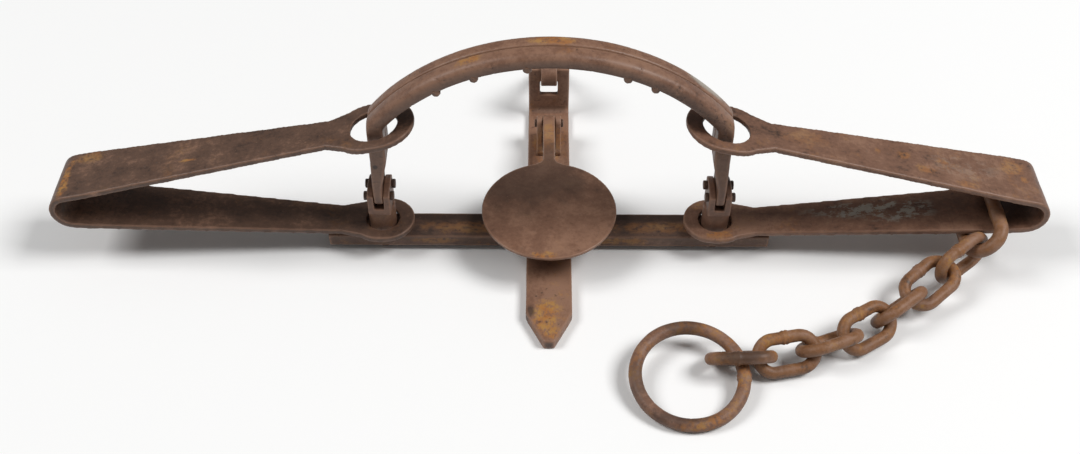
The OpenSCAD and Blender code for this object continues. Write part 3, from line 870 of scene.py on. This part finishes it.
class TRAP_OT_base(bpy.types.Operator):
    """Base bar, cross bar, jaw posts and the pan's bracket"""

    bl_idname = "trap.base"
    bl_label = "Base and posts"

    def execute(self, context):
        forge = context.scene.trap_forge
        rust = context.scene.trap_rust
        bar_iron = rusted_iron(
            "rusted_base_bar", rust, base=rust.shaded_brown, streak=(0.5, 1.0, 1.0), tone=-0.01,
            orange_share=0.6, under=0.1,
            orange_patches=[((-0.085, -0.005, 0.025), (0.070, 0.007, 0.008), 0.42),
                            ((0.100, -0.005, 0.025), (0.070, 0.007, 0.008), 0.42),
                            ((0.060, -0.013, 0.014), (0.040, 0.006, 0.005), 0.5),
                            ((-0.110, -0.013, 0.014), (0.030, 0.006, 0.005), 0.4)],
            # Painted shadow of the jaws along the rear of the bar's top face
            dark_patches=[((-0.100, 0.009, 0.026), (0.080, 0.009, 0.010), 0.8),
                          ((0.100, 0.009, 0.026), (0.090, 0.009, 0.010), 0.8)],
        )
        cross_iron = rusted_iron(
            "rusted_cross_bar", rust, streak=(1.0, 0.7, 1.0), tone=0.065, under=0.1,
            orange_share=0.5, pitted=0.2,
            orange_patches=[((-0.004, -0.108, 0.010), (0.013, 0.024, 0.02), 1.0),
                            ((0.002, -0.124, 0.010), (0.010, 0.010, 0.02), 0.9),
                            ((0.0, 0.130, 0.012), (0.024, 0.034, 0.03), 0.55)],
            dark_patches=[((-0.019, -0.099, 0.010), (0.007, 0.010, 0.02), 0.8),
                          ((0.0, -0.136, 0.006), (0.008, 0.003, 0.02), 0.8)],
        )
        post_iron = rusted_iron("rusted_posts", rust, tone=0.01, orange_share=0.25, gloss=0.03)
        plain = [
            ("base_bar", bar_iron, forge.plate_grain),
            ("cross_bar", cross_iron, forge.plate_grain),
            ("left_post", post_iron, forge.fine_grain),
            ("right_post", post_iron, forge.fine_grain),
            ("pan_bracket", cross_iron, forge.fine_grain),
        ]
        for node, iron, grain in plain:
            piece = new_piece(f"forged_{node}", joined_copy(node, [node]))
            round_off(piece, grain, forge.edge_rounds)
            roughen(piece, iron)
            put(piece, "frame", [node])
        return {"FINISHED"}


class TRAP_OT_pins(bpy.types.Operator):
    """Jaw pins and the pan's pin with peened heads, and the rivets"""

    bl_idname = "trap.pins"
    bl_label = "Pins and rivets"

    def execute(self, context):
        forge = context.scene.trap_forge
        grain = forge.fine_grain * PIN_GRAIN
        pins = context.scene.trap_pins
        rust = context.scene.trap_rust
        iron = rusted_iron("rusted_pins", rust, base=rust.shaded_brown, tone=-0.06, orange_share=0.2)
        jaw_nodes = ["left_front_jaw_pin", "left_rear_jaw_pin",
                     "right_front_jaw_pin", "right_rear_jaw_pin"]
        for name, nodes, height in (("jaw_pins", jaw_nodes, pins.jaw_head),
                                    ("pan_pin_bolt", ["pan_pin"], pins.pan_head)):
            lines, radius = self.pin_lines(nodes, height)
            piece = new_piece(name, straight_lines(name, lines))
            add_tree(
                piece, peened_pin_tree, head_radius=radius, head_height=height,
                shaft_radius=radius * pins.shaft_share, iron=iron,
            )
            round_off(piece, grain, forge.edge_rounds)
            roughen(piece, iron, pits=0.5)
            put(piece, "frame", nodes)
        for name, node in (("cross_bar_rivets", "cross_rivets"),
                           ("bracket_rivets", "pan_bracket_rivets")):
            piece = new_piece(name, joined_copy(name, [node]))
            round_off(piece, grain, forge.edge_rounds)
            roughen(piece, iron, pits=0.5)
            put(piece, "frame", [node])
        return {"FINISHED"}

    def pin_lines(self, nodes, height):
        """Lines between the middles of the pins' heads, and the heads' radius."""
        lines = []
        for node in nodes:
            low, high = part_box(node)
            middle = (low + high) / 2
            reach = Vector(((high.x - low.x - height) / 2, 0.0, 0.0))
            lines.append((middle - reach, middle + reach))
        return lines, (high.z - low.z) / 2


class TRAP_OT_jaws(bpy.types.Operator):
    """The two arched jaws with their studs"""

    bl_idname = "trap.jaws"
    bl_label = "Jaws"

    def execute(self, context):
        forge = context.scene.trap_forge
        rust = context.scene.trap_rust
        # The jaws get strong painted shade on their front and lower faces (under)
        iron = rusted_iron(
            "rusted_jaws", rust, tone=0.065, contrast=1.2, orange_share=0.40, gloss=0.06, under=0.75,
            orange_patches=[((-0.006, 0.007, 0.242), (0.030, 0.007, 0.012), 0.8),
                            ((-0.069, -0.005, 0.230), (0.014, 0.006, 0.010), 0.8)],
            ground_patches=[((0.138, 0.010, 0.190), (0.028, 0.008, 0.028), 0.85)],
            pit_patches=[((0.075, -0.016, 0.200), (0.060, 0.010, 0.030), 0.8),
                         ((0.135, -0.016, 0.165), (0.035, 0.010, 0.045), 1.0)],
            dark_patches=[((-0.159, -0.0165, 0.114), (0.0035, 0.003, 0.0035), 1.0),
                          ((0.120, -0.018, 0.170), (0.050, 0.006, 0.045), 0.35)],
        )
        for side in ("front", "rear"):
            jaw = new_piece(f"{side}_arch", joined_copy(f"{side}_arch", [f"{side}_jaw"]))
            round_off(jaw, forge.fine_grain * JAW_GRAIN, forge.jaw_rounds)
            set_solid(jaw)
            studs = self.studs(context, side, iron)
            piece = new_piece(f"{side}_jaw_forging", joined(f"{side}_jaw", [jaw.data, studs.data]))
            bpy.data.objects.remove(jaw)
            bpy.data.objects.remove(studs)
            roughen(piece, iron, pits=1.4)
            put(piece, f"{side}_jaw", [f"{side}_jaw", f"{side}_jaw_studs"])
        return {"FINISHED"}

    def studs(self, context, side, iron):
        """The worn studs under one jaw, pointing to the middle of its arch."""
        pins = context.scene.trap_pins
        lines = []
        for low, high in solid_boxes(f"{side}_jaw_studs"):
            middle = (low + high) / 2
            away = (middle - Vector((0.0, middle.y, ARCH_HEIGHT))).normalized()
            reach = away * pins.stud_length / 2
            lines.append((middle - reach, middle + reach))
        piece = new_piece(f"{side}_studs", straight_lines(f"{side}_studs", lines))
        add_tree(
            piece, peened_pin_tree, shaft_radius=pins.stud_radius,
            head_radius=pins.stud_radius * pins.stud_tip, head_height=pins.stud_cap, iron=iron,
        )
        round_off(piece, context.scene.trap_forge.fine_grain, pins.stud_rounds)
        return set_solid(piece)


class TRAP_OT_springs(bpy.types.Operator):
    """The two bent leaf springs, each in one piece"""

    bl_idname = "trap.springs"
    bl_label = "Springs"

    def execute(self, context):
        forge = context.scene.trap_forge
        rust = context.scene.trap_rust
        left_iron = rusted_iron(
            "rusted_left_spring", rust, base=rust.shaded_brown, streak=(0.75, 1.0, 1.0), tone=-0.02,
            contrast=0.95, orange_share=0.22, edge_from=0.22, brushed=0.08, gloss=0.02,
            orange_patches=[((-0.452, -0.010, 0.085), (0.007, 0.030, 0.008), 1.0),
                            ((-0.432, 0.022, 0.091), (0.018, 0.010, 0.012), 0.5),
                            ((-0.332, -0.006, 0.112), (0.012, 0.003, 0.008), 0.8)],
            pale_patches=[((-0.416, -0.030, 0.090), (0.006, 0.003, 0.004), 1.0),
                          ((-0.430, 0.000, 0.052), (0.042, 0.034, 0.020), 0.4)],
        )
        right_iron = rusted_iron(
            "rusted_right_spring", rust, streak=(0.75, 1.0, 1.0), tone=0.010, contrast=1.10,
            orange_share=0.45, edge_from=0.18, brushed=0.12, gloss=0.02,
            orange_patches=[((0.301, 0.004, 0.119), (0.006, 0.006, 0.010), 0.6),
                            ((0.327, 0.005, 0.113), (0.008, 0.007, 0.010), 0.5),
                            ((0.344, -0.009, 0.109), (0.012, 0.007, 0.010), 0.5),
                            ((0.363, 0.004, 0.105), (0.007, 0.006, 0.010), 0.4),
                            ((0.381, -0.021, 0.101), (0.014, 0.005, 0.008), 0.45),
                            ((0.437, 0.014, 0.088), (0.017, 0.013, 0.010), 0.5),
                            ((0.443, 0.000, 0.087), (0.005, 0.005, 0.008), 0.6),
                            ((0.159, -0.020, 0.031), (0.024, 0.009, 0.006), 0.8),
                            ((0.230, 0.004, 0.134), (0.036, 0.014, 0.020), 0.25)],
            dark_patches=[((0.436, 0.004, 0.056), (0.030, 0.031, 0.022), 0.85)],
            grey_patches=[((0.385, 0.004, 0.100), (0.050, 0.022, 0.020), 0.15),
                          ((0.285, 0.006, 0.040), (0.050, 0.013, 0.015), 0.9),
                          ((0.335, 0.004, 0.044), (0.050, 0.019, 0.015), 1.0)],
            pale_patches=[((0.350, -0.004, 0.107), (0.010, 0.006, 0.006), 0.8)],
        )
        for side, sign, iron in (("left", -1.0, left_iron), ("right", 1.0, right_iron)):
            nodes = [f"{side}_spring_foot", f"{side}_spring_arm"]
            piece = new_piece(f"{side}_spring", joined_copy(f"{side}_spring", nodes))
            round_off(piece, forge.plate_grain, forge.spring_rounds)
            roughen(piece, iron, waves=1.4, pits=0.4)
            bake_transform(piece)
            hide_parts(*nodes)
        return {"FINISHED"}


class TRAP_OT_pan(bpy.types.Operator):
    """The round pan and the dog that holds it"""

    bl_idname = "trap.pan"
    bl_label = "Pan and dog"

    def execute(self, context):
        forge = context.scene.trap_forge
        rust = context.scene.trap_rust
        pan_iron = rusted_iron(
            "rusted_pan", rust, tone=0.050, contrast=1.0, orange_share=0.15, gloss=0.10,
            orange_patches=[((-0.006, -0.060, 0.045), (0.013, 0.005, 0.006), 0.9),
                            ((0.0, 0.112, 0.045), (0.010, 0.030, 0.02), 0.5)],
            # Painted shadow of the jaws on the pan's rear
            dark_patches=[((-0.020, 0.048, 0.047), (0.095, 0.062, 0.03), 0.62)],
            # Painted light on the pan's front right
            pale_patches=[((0.034, -0.034, 0.047), (0.050, 0.036, 0.02), 0.4)],
        )
        dog_iron = rusted_iron("rusted_dog", rust, tone=0.0, orange_share=0.3)
        for node, iron, slot in (("pan", pan_iron, "pan_iron"), ("dog", dog_iron, "frame_iron")):
            piece = new_piece(f"forged_{node}", joined_copy(node, [node]))
            round_off(piece, forge.fine_grain * PAN_GRAIN, forge.edge_rounds)
            roughen(piece, iron, pits=0.5)
            put(piece, node, [node])
        return {"FINISHED"}


class TRAP_OT_chain(bpy.types.Operator):
    """The shackle, the welded links and the end ring"""

    bl_idname = "trap.chain"
    bl_label = "Chain"

    def execute(self, context):
        chain = context.scene.trap_chain
        rust = context.scene.trap_rust
        link_iron = rusted_iron(
            "rusted_chain", rust, base=rust.chain_brown, tone=0.0, contrast=1.3, orange_share=0.9,
            orange_from=0.47, edge_from=0.75,
            dark_patches=[((0.172, -0.168, 0.034), (0.034, 0.010, 0.010), 0.8)],
        )
        ring_iron = rusted_iron(
            "rusted_ring", rust, tone=0.04, contrast=1.4, orange_share=0.9, orange_from=0.45,
            edge_from=0.75,
            dark_patches=[((0.118, -0.130, 0.027), (0.024, 0.010, 0.012), 0.6),
                          ((0.078, -0.185, 0.018), (0.010, 0.030, 0.020), 0.5),
                          ((0.110, -0.218, 0.012), (0.034, 0.010, 0.012), 0.6)],
        )
        rods = [("chain_shackle", oval_path, link_iron)]
        rods += [(link, oval_path, link_iron) for link in LINKS]
        rods += [("chain_ring", round_path, ring_iron)]
        for node, maker, iron in rods:
            points, radius = maker(node)
            # The other welds sit on the link's first straight side
            spot = WELDS.get(node, points[len(points) // 8])
            length, place = path_place(points, spot)
            piece = new_piece(node.replace("chain_", "forged_"), closed_path(node, points))
            add_tree(
                piece, bent_rod_tree, wire_radius=radius, weld_place=place, sides=ROD_SIDES,
                weld_share=chain.weld_width / length, weld_swell=chain.weld_swell, iron=iron,
            )
            roughen(piece, iron, waves=1.6)
            put(piece, node, [node])
        return {"FINISHED"}


class TRAP_OT_stage(bpy.types.Operator):
    """Floor, soft light and the camera"""

    bl_idname = "trap.stage"
    bl_label = "Stage"

    def execute(self, context):
        stage = context.scene.trap_stage
        scene = context.scene
        scene.view_settings.view_transform = "Standard"
        self.lay_floor(stage)
        self.light(scene, stage)
        self.look(scene, stage)
        return {"FINISHED"}

    def lay_floor(self, stage):
        """A pale floor under the trap."""
        mesh = bpy.data.meshes.new("floor")
        half = FLOOR_HALF
        corners = [(-half, -half, 0), (half, -half, 0), (half, half, 0), (-half, half, 0)]
        mesh.from_pydata(corners, [], [(0, 1, 2, 3)])
        floor = new_piece("floor", mesh)
        paint = bpy.data.materials.new("pale_floor")
        paint.use_nodes = True
        shader = paint.node_tree.nodes["Principled BSDF"]
        shader.inputs["Base Color"].default_value = tuple(stage.floor_colour)
        shader.inputs["Roughness"].default_value = FLOOR_ROUGHNESS
        mesh.materials.append(paint)

    def light(self, scene, stage):
        """Even light all round, white where the camera sees it, and two soft lamps."""
        world = bpy.data.worlds.new("room")
        world.use_nodes = True
        tree = world.node_tree
        seen = tree.nodes.new("ShaderNodeLightPath").outputs["Is Camera Ray"]
        sky = tree.nodes["Background"]
        feed(tree, sky, "Color", (1.0, 1.0, 1.0, 1.0))
        feed(tree, sky, "Strength", calc(tree, "MAXIMUM", seen, stage.sky_strength))
        scene.world = world
        lamps = [
            ("right_light", stage.key_power, RIGHT_LIGHT_PLACE),
            ("left_light", stage.side_power, LEFT_LIGHT_PLACE),
        ]
        for name, power, place in lamps:
            lamp = bpy.data.lights.new(name, "AREA")
            lamp.energy = power
            lamp.size = stage.lamp_size
            holder = bpy.data.objects.new(name, lamp)
            holder.location = place
            holder.rotation_euler = (-Vector(place)).to_track_quat("-Z", "Y").to_euler()
            scene.collection.objects.link(holder)

    def look(self, scene, stage):
        """The camera, at the photograph's angle."""
        lens = bpy.data.cameras.new("camera")
        lens.lens = stage.camera_lens
        lens.sensor_width = SENSOR_WIDTH
        lens.sensor_fit = "HORIZONTAL"
        camera = bpy.data.objects.new("camera", lens)
        side = Matrix.Rotation(stage.camera_side, 4, "Z")
        turn = Matrix.Rotation(math.pi / 2 - stage.camera_height, 4, "X")
        roll = Matrix.Rotation(stage.camera_roll, 4, "Z")
        back = Matrix.Translation((0.0, 0.0, stage.camera_distance))
        camera.matrix_world = Matrix.Translation(CAMERA_AIM) @ side @ turn @ roll @ back
        scene.collection.objects.link(camera)
        scene.camera = camera


class TRAP_PT_panel(bpy.types.Panel):
    """The trap's settings and its makers"""

    bl_idname = "TRAP_PT_panel"
    bl_label = "Leghold Trap"
    bl_space_type = "VIEW_3D"
    bl_region_type = "UI"
    bl_category = "Trap"

    def draw(self, context):
        layout = self.layout
        for name in GROUPS:
            box = layout.box()
            group = getattr(context.scene, name)
            for label in group.__annotations__:
                box.prop(group, label)
        for operator in OPERATORS:
            layout.operator(operator.bl_idname)


GROUPS = {
    "trap_forge": TrapForgeSettings,
    "trap_rust": TrapRustSettings,
    "trap_pins": TrapPinSettings,
    "trap_chain": TrapChainSettings,
    "trap_stage": TrapStageSettings,
}
OPERATORS = (
    TRAP_OT_base, TRAP_OT_pins, TRAP_OT_jaws, TRAP_OT_springs,
    TRAP_OT_pan, TRAP_OT_chain, TRAP_OT_stage,
)


def register():
    """Adds the trap's settings, makers and panel to Blender."""
    for kind in (*GROUPS.values(), *OPERATORS, TRAP_PT_panel):
        bpy.utils.register_class(kind)
    for name, kind in GROUPS.items():
        setattr(bpy.types.Scene, name, PointerProperty(type=kind))


def unregister():
    """Takes them out again."""
    for name in GROUPS:
        delattr(bpy.types.Scene, name)
    for kind in reversed((*GROUPS.values(), *OPERATORS, TRAP_PT_panel)):
        bpy.utils.unregister_class(kind)


def main():
    """Builds the scene."""
    register()
    bpy.ops.trap.base()
    bpy.ops.trap.pins()
    bpy.ops.trap.jaws()
    bpy.ops.trap.springs()
    bpy.ops.trap.pan()
    bpy.ops.trap.chain()
    bpy.ops.trap.stage()


if __name__ == "__main__":
    main()
